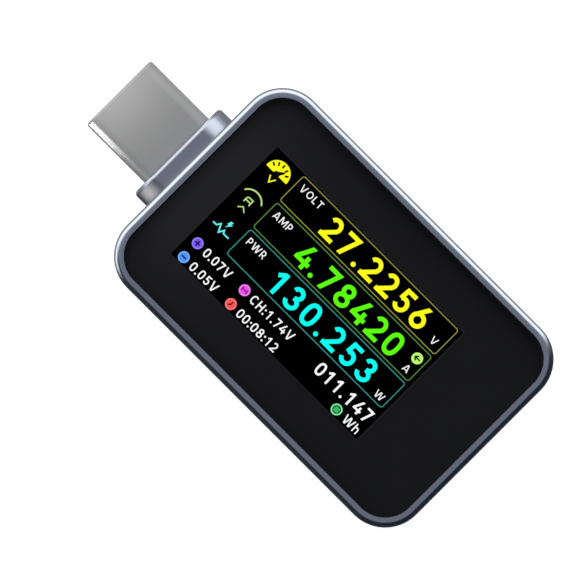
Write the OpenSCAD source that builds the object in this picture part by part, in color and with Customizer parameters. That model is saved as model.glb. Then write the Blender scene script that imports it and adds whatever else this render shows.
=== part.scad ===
// In-line USB-C power meter: a metal-framed housing with a glass front and a screen, a plug on a
// collar at one end and a socket at the other. Millimetres. The origin is the bottom centre of the
// whole object; +X runs from the plug to the socket, +Y to the top of the screen, +Z out of the
// screen.

/* [Housing] */
// Length of the housing, from the plug's wall to the socket's wall
body_len = 37.2; // [37:0.1:39]
// Width of the housing
body_wid = 24; // [24:0.1:27]
// Thickness of the housing, from the back to the rim
body_thk = 9; // [9:0.1:10]
// Radius of the housing's corners in plan
corner_r = 4; // [3.8:0.1:4.4]
// Thickness of the side walls
wall_t = 1.2; // [1.1:0.05:1.3]
// Width of the rim round the glass and round the back cover
rim_w = 0.9; // [0.8:0.05:1]
// Radius of the rim's outer edge
edge_r = 0.5; // [0.2:0.05:0.6]
// Gap round the glass and round the back cover
seam = 0.15; // [0.05:0.01:0.2]
// Thickness of the back cover
cover_t = 1; // [0.9:0.05:1.1]
// How far the glass sits below the rim
glass_sink = 0.1; // [0.02:0.01:0.15]
// Thickness of the cover glass
glass_t = 0.8; // [0.6:0.05:0.9]

/* [Screen] */
// Length of the screen's window
window_len = 23.9; // [22:0.1:25]
// Width of the screen's window
window_wid = 13.7; // [12:0.1:15]
// How far the window's centre is from the housing's centre, towards the plug
window_shift = 2; // [1.5:0.1:2.2]
// How far the window's centre is below the housing's centre line
window_drop = 0.12; // [0:0.02:0.3]

/* [Plug and socket] */
// Length of plug that stands out of the collar
plug_out = 7.5; // [6.6:0.1:8]
// Width of the plug's shell
plug_wid = 8.25; // [8.2:0.01:8.3]
// Height of the plug's shell
plug_hgt = 2.4; // [2.36:0.01:2.42]
// How far the collar stands out of the housing
collar_out = 1.6; // [1.2:0.1:2]
// Width of the collar
collar_wid = 11; // [10.6:0.1:12]
// Height of the collar
collar_hgt = 5.2; // [5:0.1:6]
// Radius of the collar's front lip
lip_r = 0.4; // [0.2:0.05:0.5]
// Width of the socket's opening
socket_wid = 8.34; // [8.3:0.01:8.4]
// Height of the socket's opening
socket_hgt = 2.56; // [2.52:0.01:2.6]

/* [Side key] */
// Length of the key's face
key_len = 6; // [5:0.1:7]
// Height of the key's face
key_hgt = 1.8; // [1.6:0.1:2.2]
// Distance that the key travels
key_travel = 0.25; // [0.15:0.01:0.3]

/* [Hidden] */
$fn = 96;

// Length that one solid is run into another so that a union has no seam
bite = 0.2;
// Gap between parts that are pushed or glued together
slip = 0.02;

// Stations along X
overall_len = plug_out + collar_out + body_len;
x_tip = -overall_len / 2;
x_collar = x_tip + plug_out;
x_front = x_collar + collar_out;
x_rear = overall_len / 2;
x_mid = (x_front + x_rear) / 2;

// Levels along Z. The plug, the board and the socket share the middle plane
z_mid = body_thk / 2;
film_t = 0.1;
z_glass = body_thk - glass_sink - glass_t;
z_ledge = z_glass - film_t;
ledge_t = 0.8;
ledge_w = 1.9;

// Corner bosses for the case screws
boss_r = 1.8;
boss_inset = 3.1;
boss_x = body_len / 2 - boss_inset;
boss_y = body_wid / 2 - boss_inset;
boss_top = 6.2;
screw_r = 0.7;
screw_len = 4.6;
head_r = 1.2;
head_t = 0.5;
head_sink = 0.05;

// Screen stack, from the film down
stack_gap = 0.05;
lcd_wid = 16.6;
lcd_plug_margin = 1.3;
lcd_rear_margin = 4.3;
lcd_len = window_len + lcd_plug_margin + lcd_rear_margin;
lcd_t = 0.75;
backlight_t = 0.8;
x_window = x_mid - window_shift;
x_lcd = x_window - window_len / 2 - lcd_plug_margin + lcd_len / 2;
z_lcd = z_ledge - stack_gap - lcd_t;
z_backlight = z_lcd - stack_gap - backlight_t;

// Circuit board
board_t = 0.8;
board_gap = 0.6;
z_board = z_mid - board_t / 2;
z_board_top = z_mid + board_t / 2;
board_x0 = x_front + wall_t + board_gap;
board_x1 = x_rear - wall_t - board_gap;
board_half_wid = body_wid / 2 - wall_t - board_gap;

// Plug
collar_step = 0.5;
plug_wall = 0.3;
plug_tip_r = 0.25;
plug_in_x = x_front + wall_t + 0.55;
plug_body_x = plug_in_x - 0.15;
slot_wid = 6.9;
slot_hgt = 0.86;
slot_depth = 5.9;
contact_pitch = 0.5;
contact_count = 12;
contact_w = 0.25;

// Socket
socket_wall = 0.3;
socket_len = 6.75;
socket_sink = 0.1;
x_mouth = x_rear - socket_sink;
x_socket = x_mouth - socket_len;
tongue_wid = 6.69;
tongue_hgt = 0.7;
tongue_sink = 1.25;
socket_base_len = 1.7;

// Key and switch
key_x = x_mid;
key_gap = 0.15;
key_sink = 0.05;
key_flange_t = 0.4;
key_flange_rim = 0.5;
y_wall_in = -(body_wid / 2 - wall_t);
y_flange = y_wall_in + key_gap;
y_flange_back = y_flange + key_flange_t;
pip_len = 0.15;
switch_len = 4.2;
switch_dep = 2.6;
switch_hgt = 1.8;
y_switch = y_flange_back + key_travel + 0.3;
plunger_wid = 2;
plunger_hgt = 1;
plunger_gap = 0.15;
pocket_dep = 1.6;

// ---- outlines ----

// Rectangle with round corners, centred
module round_rect(l, w, r) {
    square([l - 2 * r, w], center = true);
    square([l, w - 2 * r], center = true);
    for (sx = [-1, 1], sy = [-1, 1])
        translate([sx * (l / 2 - r), sy * (w / 2 - r)]) circle(r = r);
}

// Slot outline with half-round ends, centred, its length along X
module stadium(l, h) {
    square([l - h, h], center = true);
    for (s = [-1, 1]) translate([s * (l - h) / 2, 0]) circle(d = h);
}

// ---- placing and sweeping ----

// Turns an extrusion so that it runs along +X, with its outline's X along Y and its Y along Z
module along_x(x) {
    translate([x, 0, z_mid]) rotate([90, 0, 90]) children();
}

// Turns an extrusion so that it runs along +Y from y, with its outline's X along X
module along_y(x, y) {
    translate([x, y, z_mid]) rotate([-90, 0, 0]) children();
}

// Sweeps an outline round a rectangle with round corners. The outline's X is the distance from a
// corner's centre
module sweep_round_rect(l, w, r) {
    for (k = [0, 1]) {
        rotate(180 * k) translate([-(l / 2 - r), w / 2 - r, 0]) rotate([90, 0, 90])
            linear_extrude(l - 2 * r) children();
        rotate(180 * k) translate([l / 2 - r, w / 2 - r, 0]) rotate([90, 0, 0])
            linear_extrude(w - 2 * r) children();
        for (s = [-1, 1])
            rotate(180 * k) translate([s * (l / 2 - r), w / 2 - r, 0])
                rotate(s > 0 ? 0 : 90) rotate_extrude(angle = 90) children();
    }
}

// Sweeps an outline round a stadium. The outline's X is the distance from an end's centre
module sweep_stadium(l, h) {
    for (k = [0, 1]) rotate(180 * k) {
        translate([-(l - h) / 2, 0, 0]) rotate([90, 0, 90]) linear_extrude(l - h) children();
        translate([(l - h) / 2, 0, 0]) rotate(-90) rotate_extrude(angle = 180) children();
    }
}

// ---- housing ----

// Section of the frame. X is the distance from a plan corner's centre, Y is the height
module frame_section() {
    inner = corner_r - ledge_w;
    difference() {
        union() {
            translate([inner, 0]) square([ledge_w - edge_r, body_thk]);
            translate([inner, edge_r]) square([ledge_w, body_thk - 2 * edge_r]);
            for (z = [edge_r, body_thk - edge_r]) translate([corner_r - edge_r, z]) circle(r = edge_r);
        }
        translate([inner - bite, z_ledge]) square([ledge_w - rim_w + bite, body_thk]);
        translate([inner - bite, cover_t])
            square([ledge_w - wall_t + bite, z_ledge - ledge_t - cover_t]);
        translate([inner - bite, -bite]) square([ledge_w - rim_w + bite, cover_t + bite]);
    }
}

// Plan of one corner boss, filled out to the walls
module boss_plan() {
    intersection() {
        union() {
            translate([boss_x, boss_y]) circle(r = boss_r);
            translate([boss_x - boss_r, boss_y]) square([2 * boss_r + bite, 2 * boss_r]);
            translate([boss_x, boss_y - boss_r]) square([2 * boss_r, 2 * boss_r + bite]);
        }
        round_rect(body_len - 2 * rim_w, body_wid - 2 * rim_w, corner_r - rim_w);
    }
}

module frame() {
    color([0.42, 0.45, 0.51]) difference() {
        union() {
            translate([x_mid, 0, 0]) sweep_round_rect(body_len, body_wid, corner_r) frame_section();
            for (sx = [0, 1], sy = [0, 1])
                translate([x_mid, 0, cover_t]) mirror([sx, 0, 0]) mirror([0, sy, 0])
                    linear_extrude(boss_top - cover_t) boss_plan();
        }
        for (sx = [-1, 1], sy = [-1, 1])
            translate([x_mid + sx * boss_x, sy * boss_y, 0])
                cylinder(r = screw_r + slip, h = screw_len + 0.4);
        along_x(x_front - 1) linear_extrude(wall_t + 2)
            stadium(collar_wid - 2 * collar_step, collar_hgt - 2 * collar_step);
        along_x(x_rear - wall_t - 1) linear_extrude(wall_t + 2)
            stadium(socket_wid + 2 * socket_wall + 0.2, socket_hgt + 2 * socket_wall + 0.2);
        along_y(key_x, -body_wid / 2 - 1) linear_extrude(wall_t + 2)
            stadium(key_len + 2 * key_gap, key_hgt + 2 * key_gap);
    }
}

// Section of the collar, with a rounded front lip and a spigot that fits the frame's port. Y is the
// distance from the collar's face
module collar_section() {
    outer = collar_hgt / 2;
    inner = plug_hgt / 2 - 0.4;
    spigot = outer - collar_step - slip;
    translate([outer - lip_r, lip_r]) circle(r = lip_r);
    polygon([[inner, 0], [outer - lip_r, 0], [outer - lip_r, lip_r], [outer, lip_r],
        [outer, collar_out], [spigot, collar_out], [spigot, collar_out + wall_t],
        [inner, collar_out + wall_t]]);
}

module plug_collar() {
    color([0.41, 0.44, 0.5]) difference() {
        along_x(x_collar) sweep_stadium(collar_wid, collar_hgt) collar_section();
        along_x(x_collar - 1) linear_extrude(collar_out + wall_t + 2)
            stadium(plug_wid + 2 * slip, plug_hgt + 2 * slip);
    }
}

module cover_glass() {
    color([0.1, 0.1, 0.12, 0.4]) translate([x_mid, 0, z_glass]) linear_extrude(glass_t)
        round_rect(body_len - 2 * (rim_w + seam), body_wid - 2 * (rim_w + seam),
            corner_r - rim_w - seam);
}

module bezel_film() {
    color([0.02, 0.02, 0.03]) translate([0, 0, z_ledge]) linear_extrude(film_t) difference() {
        translate([x_mid, 0]) round_rect(body_len - 2 * (rim_w + seam),
            body_wid - 2 * (rim_w + seam), corner_r - rim_w - seam);
        translate([x_window, -window_drop]) square([window_len, window_wid], center = true);
    }
}

module back_cover() {
    post_r = 0.9;
    color([0.16, 0.17, 0.19]) difference() {
        union() {
            translate([x_mid, 0, 0]) linear_extrude(cover_t)
                round_rect(body_len - 2 * (rim_w + seam), body_wid - 2 * (rim_w + seam),
                    corner_r - rim_w - seam);
            for (sx = [-1, 1], sy = [-1, 1])
                translate([x_mid + sx * 10.5, sy * 8.6, cover_t / 2])
                    cylinder(r = post_r, h = z_board - cover_t / 2);
        }
        for (sx = [-1, 1], sy = [-1, 1]) translate([x_mid + sx * boss_x, sy * boss_y, -bite]) {
            cylinder(r = screw_r + 0.1, h = cover_t + 2 * bite);
            cylinder(r = head_r + slip, h = bite + head_sink);
            translate([0, 0, bite + head_sink])
                cylinder(r1 = head_r + slip, r2 = screw_r + slip, h = head_t);
        }
    }
}

module case_screws() {
    color([0.55, 0.56, 0.58]) for (sx = [-1, 1], sy = [-1, 1])
        translate([x_mid + sx * boss_x, sy * boss_y, head_sink]) difference() {
            union() {
                cylinder(r1 = head_r, r2 = screw_r, h = head_t);
                translate([0, 0, head_t]) cylinder(r = screw_r, h = screw_len - head_t);
            }
            for (a = [0, 90]) rotate(a) translate([-0.7, -0.14, -bite]) cube([1.4, 0.28, bite + 0.35]);
        }
}

// ---- screen ----

module lcd_panel() {
    rear_step = 2.6;
    color([0.03, 0.03, 0.04]) translate([x_lcd, 0, z_lcd]) {
        translate([-lcd_len / 2, -lcd_wid / 2, 0]) cube([lcd_len, lcd_wid, lcd_t / 2]);
        translate([-lcd_len / 2, -lcd_wid / 2, 0]) cube([lcd_len - rear_step, lcd_wid, lcd_t]);
    }
}

module lcd_backlight() {
    color([0.92, 0.92, 0.9]) translate([x_lcd, 0, z_backlight + backlight_t / 2])
        cube([lcd_len, lcd_wid, backlight_t], center = true);
}

// Flat cable: out of the panel's rear end, round a half turn and back under the backlight, then
// down to the connector
flex_t = 0.1;
flex_wid = 8;
flex_x = x_lcd + lcd_len / 2;
flex_hi = z_lcd + 0.1;
flex_lo = z_backlight - 0.15;
flex_turn_r = (flex_hi - flex_lo) / 2;
flex_bend_x = flex_x - 5.6;
conn_x = flex_x - 8.4;
conn_len = 2.4;
flex_low_z = z_board_top + 0.5;

module flex_outline() {
    difference() {
        translate([0, (flex_hi + flex_lo) / 2]) circle(r = flex_turn_r + flex_t / 2);
        translate([0, (flex_hi + flex_lo) / 2]) circle(r = flex_turn_r - flex_t / 2);
        translate([-2, 0]) square([2, 2 * flex_hi]);
    }
    translate([flex_bend_x - flex_x, flex_lo - flex_t / 2]) square([flex_x - flex_bend_x, flex_t]);
    polygon([[flex_bend_x - flex_x, flex_lo - flex_t / 2], [flex_bend_x - flex_x, flex_lo + flex_t / 2],
        [conn_x - flex_x, flex_low_z + flex_t / 2], [conn_x - flex_x, flex_low_z - flex_t / 2]]);
}

module lcd_flex() {
    color([0.75, 0.45, 0.12]) translate([flex_x, flex_wid / 2, 0]) rotate([90, 0, 0])
        linear_extrude(flex_wid) flex_outline();
}

module lcd_connector() {
    color([0.9, 0.88, 0.82]) translate([conn_x - conn_len, 0, z_board_top + slip]) difference() {
        translate([0, -flex_wid / 2 - 0.7, 0]) cube([conn_len, flex_wid + 1.4, 0.9]);
        translate([conn_len - 0.5, -flex_wid / 2 - 0.1, 0.35]) cube([1, flex_wid + 0.2, 0.3]);
    }
}

module foam_pad() {
    pad_len = 14;
    color([0.15, 0.15, 0.16]) translate([x_lcd - lcd_len / 2 + 1, -6, z_board_top + 1.02])
        cube([pad_len, 12, z_backlight - z_board_top - 1.07]);
}

// ---- circuit board and what is on it ----

module board_plan() {
    notch = 5.2;
    difference() {
        translate([board_x0, -board_half_wid])
            square([board_x1 - board_x0, 2 * board_half_wid]);
        for (sx = [-1, 1], sy = [-1, 1])
            translate([x_mid + sx * body_len / 2, sy * body_wid / 2])
                square([2 * notch, 2 * notch], center = true);
        translate([x_socket - 0.4, -(socket_wid / 2 + socket_wall + 0.15)])
            square([20, socket_wid + 2 * socket_wall + 0.3]);
        translate([key_x - switch_len / 2 - 0.15, -20]) square([switch_len + 0.3,
            20 + y_switch + switch_dep + 0.1]);
        translate([key_x - key_len / 2 - 1, -20])
            square([key_len + 2, 20 + y_flange_back + key_travel + 0.4]);
        for (s = [-1, 1]) translate([x_mid - 14.6, s * 6]) circle(r = 0.5);
    }
}

module circuit_board() {
    color([0.05, 0.25, 0.15]) translate([0, 0, z_board]) linear_extrude(board_t) board_plan();
}

// Flat-leaded chip: a body with leads on two sides. side is 1 on the board's top, -1 underneath
module leaded_chip(x, y, l, w, t, leads, side, body_col) {
    lead_w = 0.3;
    lead_t = 0.16;
    lead_out = 0.55;
    pitch = l / (leads + 0.5);
    z0 = side > 0 ? z_board_top + slip : z_board - slip;
    translate([x, y, z0]) mirror([0, 0, side > 0 ? 0 : 1]) {
        color(body_col) translate([-l / 2, -w / 2, 0.08]) cube([l, w, t - 0.08]);
        color([0.8, 0.8, 0.82]) for (i = [0 : leads - 1], s = [-1, 1])
            translate([(i - (leads - 1) / 2) * pitch, s * (w / 2 + (lead_out - bite) / 2), lead_t / 2])
                cube([lead_w, lead_out + bite, lead_t], center = true);
    }
}

// Leadless chip: a square body over a slightly smaller pad layer
module leadless_chip(x, y, l, w, t, side) {
    z0 = side > 0 ? z_board_top + slip : z_board - slip;
    translate([x, y, z0]) mirror([0, 0, side > 0 ? 0 : 1]) {
        color([0.08, 0.08, 0.09]) translate([-l / 2, -w / 2, 0.05]) cube([l, w, t - 0.05]);
        color([0.8, 0.8, 0.82]) translate([-l / 2 + 0.1, -w / 2 + 0.1, 0])
            cube([l - 0.2, w - 0.2, 0.1]);
    }
}

// Two-terminal chip part: a body between two raised end caps
module two_pole(x, y, l, w, t, turn, side, body_col) {
    cap = l / 5;
    z0 = side > 0 ? z_board_top + slip : z_board - slip;
    translate([x, y, z0]) mirror([0, 0, side > 0 ? 0 : 1]) rotate(turn) {
        color(body_col) translate([-l / 2 + cap / 2, -w / 2 + 0.03, 0.03])
            cube([l - cap, w - 0.06, t - 0.06]);
        color([0.8, 0.8, 0.8]) for (s = [-1, 1])
            translate([s * (l - cap) / 2, 0, t / 2]) cube([cap, w, t], center = true);
    }
}

module mcu_chip() { leadless_chip(x_mid - 10, 0, 6, 6, 0.8, 1); }

module current_sense_chip() { leaded_chip(x_mid - 3.2, 0, 3, 3, 0.95, 5, -1, [0.08, 0.08, 0.09]); }

module memory_chip() { leaded_chip(x_mid + 0.5, 4.6, 3, 2.2, 0.7, 4, 1, [0.08, 0.08, 0.09]); }

module voltage_regulator() {
    leaded_chip(x_mid - 7.4, 6.2, 2.9, 1.6, 1.1, 3, -1, [0.08, 0.08, 0.09]);
}

module buck_inductor() {
    z0 = z_board - slip;
    translate([x_mid - 3, 6.4, z0]) mirror([0, 0, 1]) {
        color([0.25, 0.25, 0.27]) translate([0, 0, 1.05]) cube([3, 3, 0.5], center = true);
        color([0.25, 0.25, 0.27]) translate([0, 0, 0.15]) cube([3, 3, 0.3], center = true);
        color([0.72, 0.4, 0.2]) cylinder(r = 1.3, h = 1.2);
    }
}

// Two low-ohm resistors side by side, one in each power rail
module shunt_resistors() {
    for (s = [-1, 1]) two_pole(x_mid + 3.8, s * 1.9, 6.3, 3.1, 0.65, 0, -1, [0.1, 0.12, 0.1]);
}

module crystal() { two_pole(x_mid - 10, -5.6, 3.2, 2, 0.75, 0, 1, [0.7, 0.7, 0.66]); }

module tvs_diodes() {
    for (s = [-1, 1]) two_pole(x_mid - 13.6, s * 3.4, 2.6, 1.4, 1, 90, -1, [0.1, 0.1, 0.1]);
    two_pole(x_mid + 12.6, 6.1, 2.6, 1.4, 1, 90, -1, [0.1, 0.1, 0.1]);
}

module ceramic_capacitors() {
    tan_body = [0.62, 0.5, 0.36];
    for (i = [0 : 3]) two_pole(x_mid - 12.4 + 1.6 * i, 4.8, 1.6, 0.8, 0.8, 90, 1, tan_body);
    for (i = [0 : 2]) two_pole(x_mid - 7.6 + 1.6 * i, -6.4, 1.6, 0.8, 0.8, 90, -1, tan_body);
    for (s = [-1, 1]) two_pole(x_mid + 9.4, s * 6, 3.2, 1.6, 1.3, 0, -1, tan_body);
}

module chip_resistors() {
    for (i = [0 : 4]) two_pole(x_mid - 5.2 + 1.1 * i, -4.2, 1, 0.5, 0.35, 90, 1, [0.1, 0.1, 0.1]);
    for (s = [-1, 1]) two_pole(x_mid - 13.4, s * 5, 1, 0.5, 0.35, 0, 1, [0.1, 0.1, 0.1]);
    for (i = [0 : 2]) two_pole(x_mid + 5.4 + 1.1 * i, 7.4, 1, 0.5, 0.35, 90, -1, [0.1, 0.1, 0.1]);
}

// Carries the resistors' heat to the back cover
module thermal_pad() {
    top = z_board - 0.65 - 2 * slip;
    color([0.55, 0.65, 0.75]) translate([x_mid + 3.8 - 3.2, -3.6, cover_t + slip])
        cube([6.4, 7.2, top - cover_t - slip]);
}

// ---- plug ----

// Section of the plug's shell from its rolled tip to its inner end. X is the distance from an
// end's centre, Y is the distance from the tip
module plug_section() {
    outer = plug_hgt / 2;
    shell_len = plug_in_x - x_tip;
    translate([outer - plug_wall, plug_tip_r]) square([plug_wall, shell_len - plug_tip_r]);
    translate([outer - plug_tip_r, plug_tip_r]) circle(r = plug_tip_r);
}

module plug_shell() {
    tab_y = plug_wid / 2 - 0.65;
    color([0.7, 0.7, 0.7]) {
        along_x(x_tip) sweep_stadium(plug_wid, plug_hgt) plug_section();
        for (s = [-1, 1]) translate([plug_in_x - 0.1, s * tab_y - 0.2, z_board_top + slip])
            cube([1.5, 0.4, 0.26]);
    }
}

// Grooves or strips for one row of contacts on each side of the middle plane
module contact_rows(z0, t, w) {
    for (i = [0 : contact_count - 1], s = [-1, 1])
        translate([(i - (contact_count - 1) / 2) * contact_pitch, s * (z0 + t / 2)])
            square([w, t], center = true);
}

module plug_insulator() {
    start = x_tip + 2 * plug_tip_r + slip;
    groove_t = 0.17;
    color([0.1, 0.1, 0.11]) {
        along_x(start) linear_extrude(plug_body_x - start) difference() {
            stadium(plug_wid - 2 * (plug_wall + slip), plug_hgt - 2 * (plug_wall + slip));
            square([slot_wid, slot_hgt], center = true);
            contact_rows(slot_hgt / 2 - 0.01, groove_t, contact_w + 0.05);
        }
        translate([x_tip + slot_depth, -slot_wid / 2 - bite / 2, z_mid - slot_hgt / 2])
            cube([plug_body_x - x_tip - slot_depth, slot_wid + bite, slot_hgt]);
    }
}

module plug_contacts() {
    contact_t = 0.12;
    start = x_tip + 1.1;
    tail = 1.2;
    color([0.85, 0.68, 0.3]) {
        along_x(start) linear_extrude(board_x0 + tail - start)
            contact_rows(slot_hgt / 2 + slip, contact_t, contact_w);
    }
}

// Two side arms with hooks that hold the plug in a socket
module plug_latch() {
    arm_t = 0.2;
    arm_hgt = 0.5;
    arm_len = slot_depth - 1.6;
    hook = 0.25;
    color([0.75, 0.75, 0.76]) for (s = [-1, 1])
        translate([x_tip + 1.4, 0, z_mid - arm_hgt / 2]) mirror([0, s > 0 ? 0 : 1, 0])
            linear_extrude(arm_hgt) polygon([
                [0, slot_wid / 2 - slip - arm_t], [0.35, slot_wid / 2 - slip - arm_t - hook],
                [0.7, slot_wid / 2 - slip - arm_t], [arm_len, slot_wid / 2 - slip - arm_t],
                [arm_len, slot_wid / 2 - slip], [0, slot_wid / 2 - slip]]);
}

// ---- socket ----

module socket_shell() {
    out_wid = socket_wid + 2 * socket_wall;
    out_hgt = socket_hgt + 2 * socket_wall;
    color([0.72, 0.72, 0.73]) {
        along_x(x_socket) linear_extrude(socket_len) difference() {
            stadium(out_wid, out_hgt);
            stadium(socket_wid, socket_hgt);
        }
        for (s = [-1, 1], x = [x_socket + 0.8, x_rear - wall_t - 1.8])
            translate([x, s > 0 ? out_wid / 2 - 0.25 : -out_wid / 2 - 1.1, z_board_top + slip])
                cube([1.2, 1.35, 0.25]);
    }
}

// Plan of the socket's inner mouldings round the tongue
module socket_base_plan() {
    difference() {
        stadium(socket_wid - 2 * slip, socket_hgt - 2 * slip);
        square([tongue_wid + 2 * slip, tongue_hgt + 2 * slip], center = true);
        contact_rows(tongue_hgt / 2, 0.12, contact_w + 0.05);
    }
}

module socket_housing() {
    color([0.12, 0.12, 0.13]) along_x(x_socket - 0.1) linear_extrude(socket_base_len + 0.1)
        socket_base_plan();
}

module socket_tongue() {
    plate_t = 0.15;
    tongue_len = socket_len - tongue_sink;
    color([0.14, 0.14, 0.15]) translate([x_socket, 0, z_mid]) difference() {
        translate([0, -tongue_wid / 2, -tongue_hgt / 2]) cube([tongue_len, tongue_wid, tongue_hgt]);
        for (s = [-1, 1]) translate([-bite, s > 0 ? 0.4 : -0.4 - tongue_wid, -plate_t / 2 - slip / 2])
            cube([tongue_len - 0.4 + bite, tongue_wid, plate_t + slip]);
    }
}

module socket_contacts() {
    contact_t = 0.08;
    color([0.85, 0.68, 0.3]) {
        along_x(x_socket - 0.3) linear_extrude(socket_len - tongue_sink - 0.1)
            contact_rows(tongue_hgt / 2 + 0.01, contact_t, contact_w);
        along_x(x_socket - 1.6) linear_extrude(1.45)
            contact_rows(board_t / 2 + slip, contact_t, contact_w);
    }
}

// Two stiffening plates in the tongue, with a notch in each side for a latch
module socket_midplate() {
    plate_t = 0.15;
    notch_r = 0.35;
    start = socket_base_len + 0.05;
    plate_len = socket_len - tongue_sink - 0.42 - start;
    color([0.75, 0.75, 0.76]) for (s = [-1, 1])
        translate([x_socket + start, 0, z_mid - plate_t / 2]) linear_extrude(plate_t) difference() {
            translate([0, s > 0 ? 0.42 : -tongue_wid / 2 - 0.1])
                square([plate_len, tongue_wid / 2 - 0.32]);
            translate([plate_len - 1.6, s * (tongue_wid / 2 + 0.1)]) circle(r = notch_r);
        }
}

// ---- side key and its switch ----

module key_cap() {
    y_face = -body_wid / 2 + key_sink;
    color([0.4, 0.43, 0.49]) {
        along_y(key_x, y_face) linear_extrude(y_flange + bite - y_face) stadium(key_len, key_hgt);
        along_y(key_x, y_flange) linear_extrude(key_flange_t)
            stadium(key_len + 2 * key_flange_rim, key_hgt + 2 * key_flange_rim);
        along_y(key_x, y_flange_back - bite) cylinder(r = 0.45, h = pip_len + bite);
    }
}

module switch_plunger() {
    color([0.75, 0.72, 0.65]) translate([key_x - plunger_wid / 2, y_flange_back + pip_len,
        z_mid - plunger_hgt / 2]) cube([plunger_wid, y_switch - y_flange_back - pip_len + 0.75,
            plunger_hgt]);
}

module switch_body() {
    color([0.12, 0.12, 0.12]) translate([key_x, y_switch, z_mid]) difference() {
        translate([-switch_len / 2, 0, -switch_hgt / 2]) cube([switch_len, switch_dep, switch_hgt]);
        translate([-plunger_wid / 2 - plunger_gap, -bite, -plunger_hgt / 2 - plunger_gap])
            cube([plunger_wid + 2 * plunger_gap, pocket_dep + bite, plunger_hgt + 2 * plunger_gap]);
    }
}

module switch_cover() {
    sheet_t = 0.15;
    color([0.78, 0.78, 0.78]) translate([key_x, y_switch, z_mid + switch_hgt / 2 + slip]) {
        translate([-switch_len / 2, 0, 0]) cube([switch_len, switch_dep - 0.3, sheet_t]);
        for (s = [-1, 1])
            translate([s > 0 ? switch_len / 2 - 0.1 : -switch_len / 2 - 0.9, 0.5, 0])
                cube([1, 1.2, sheet_t]);
    }
}

// Shallow snap dome, bulging towards the plunger
module switch_dome() {
    dome_r = 0.6;
    sheet_t = 0.08;
    rise = 0.2;
    color([0.8, 0.8, 0.8]) along_y(key_x, y_switch + pocket_dep - slip) rotate([180, 0, 0])
        rotate_extrude() polygon([[0, rise], [dome_r * 0.6, rise * 0.75], [dome_r, 0],
            [dome_r, sheet_t], [dome_r * 0.6, rise * 0.75 + sheet_t], [0, rise + sheet_t]]);
}

frame();
plug_collar();
cover_glass();
bezel_film();
back_cover();
case_screws();
lcd_panel();
lcd_backlight();
lcd_flex();
lcd_connector();
foam_pad();
circuit_board();
mcu_chip();
current_sense_chip();
memory_chip();
voltage_regulator();
buck_inductor();
shunt_resistors();
crystal();
tvs_diodes();
ceramic_capacitors();
chip_resistors();
thermal_pad();
plug_shell();
plug_insulator();
plug_contacts();
plug_latch();
socket_shell();
socket_housing();
socket_tongue();
socket_contacts();
socket_midplate();
key_cap();
switch_body();
switch_cover();
switch_dome();
switch_plunger();
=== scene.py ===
"""Looks of the in-line USB-C power meter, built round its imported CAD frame. Lengths in this file are
millimetres in the frame's own axes: +X from the plug to the socket, +Y to the top of the screen and
+Z out of the screen. They become metres only where a mesh is made."""

import math

import bmesh
import bpy
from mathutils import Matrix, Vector


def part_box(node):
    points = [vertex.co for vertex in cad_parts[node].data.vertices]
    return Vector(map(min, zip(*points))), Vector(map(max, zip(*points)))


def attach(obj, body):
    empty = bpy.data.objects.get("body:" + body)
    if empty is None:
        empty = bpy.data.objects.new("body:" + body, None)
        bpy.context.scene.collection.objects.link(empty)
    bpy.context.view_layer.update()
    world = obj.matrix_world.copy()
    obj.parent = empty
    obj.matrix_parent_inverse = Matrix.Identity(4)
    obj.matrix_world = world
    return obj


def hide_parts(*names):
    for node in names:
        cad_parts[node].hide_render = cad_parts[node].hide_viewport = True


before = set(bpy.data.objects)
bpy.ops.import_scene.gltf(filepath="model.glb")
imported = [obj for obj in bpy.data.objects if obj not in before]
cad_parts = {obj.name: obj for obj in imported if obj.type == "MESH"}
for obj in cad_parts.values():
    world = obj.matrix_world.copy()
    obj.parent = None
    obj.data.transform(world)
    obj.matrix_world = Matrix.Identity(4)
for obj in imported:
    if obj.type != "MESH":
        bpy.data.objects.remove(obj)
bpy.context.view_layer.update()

MM = 0.001


def node_box(node):
    """Lowest and highest corners of a CAD node, in millimetres."""
    lo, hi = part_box(node)
    return lo / MM, hi / MM


# ---- sizes, worked out from the CAD nodes ----

FRAME_LO, FRAME_HI = node_box("frame")
GLASS_LO, GLASS_HI = node_box("cover_glass")
FILM_LO, FILM_HI = node_box("bezel_film")
COLLAR_LO, COLLAR_HI = node_box("plug_collar")
PLUG_LO, PLUG_HI = node_box("plug_shell")
LCD_TOP = node_box("lcd_panel")[1].z

BODY_LEN = FRAME_HI.x - FRAME_LO.x
BODY_WID = FRAME_HI.y - FRAME_LO.y
BODY_THK = FRAME_HI.z
MID_X = (FRAME_LO.x + FRAME_HI.x) / 2
MID_Z = BODY_THK / 2
CORNER_R = 4.0
EDGE_R = 0.5
RIM = 0.9
WALL = 1.2
LEDGE = 1.9
LEDGE_T = 0.8
COVER_T = 1.0
PLATE_CORNER_R = CORNER_R - (BODY_WID - (GLASS_HI.y - GLASS_LO.y)) / 2
WINDOW_LEN, WINDOW_WID = 23.9, 13.7
WINDOW_X, WINDOW_Y = MID_X - 2.0, -0.12
PLUG_WID, PLUG_HGT = 8.25, 2.4
COLLAR_WID = COLLAR_HI.y - COLLAR_LO.y
COLLAR_HGT = COLLAR_HI.z - COLLAR_LO.z
COLLAR_STEP = 0.5
SOCKET_WID, SOCKET_HGT, SOCKET_WALL = 8.34, 2.56, 0.3


# ---- camera, light and floor ----

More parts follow.
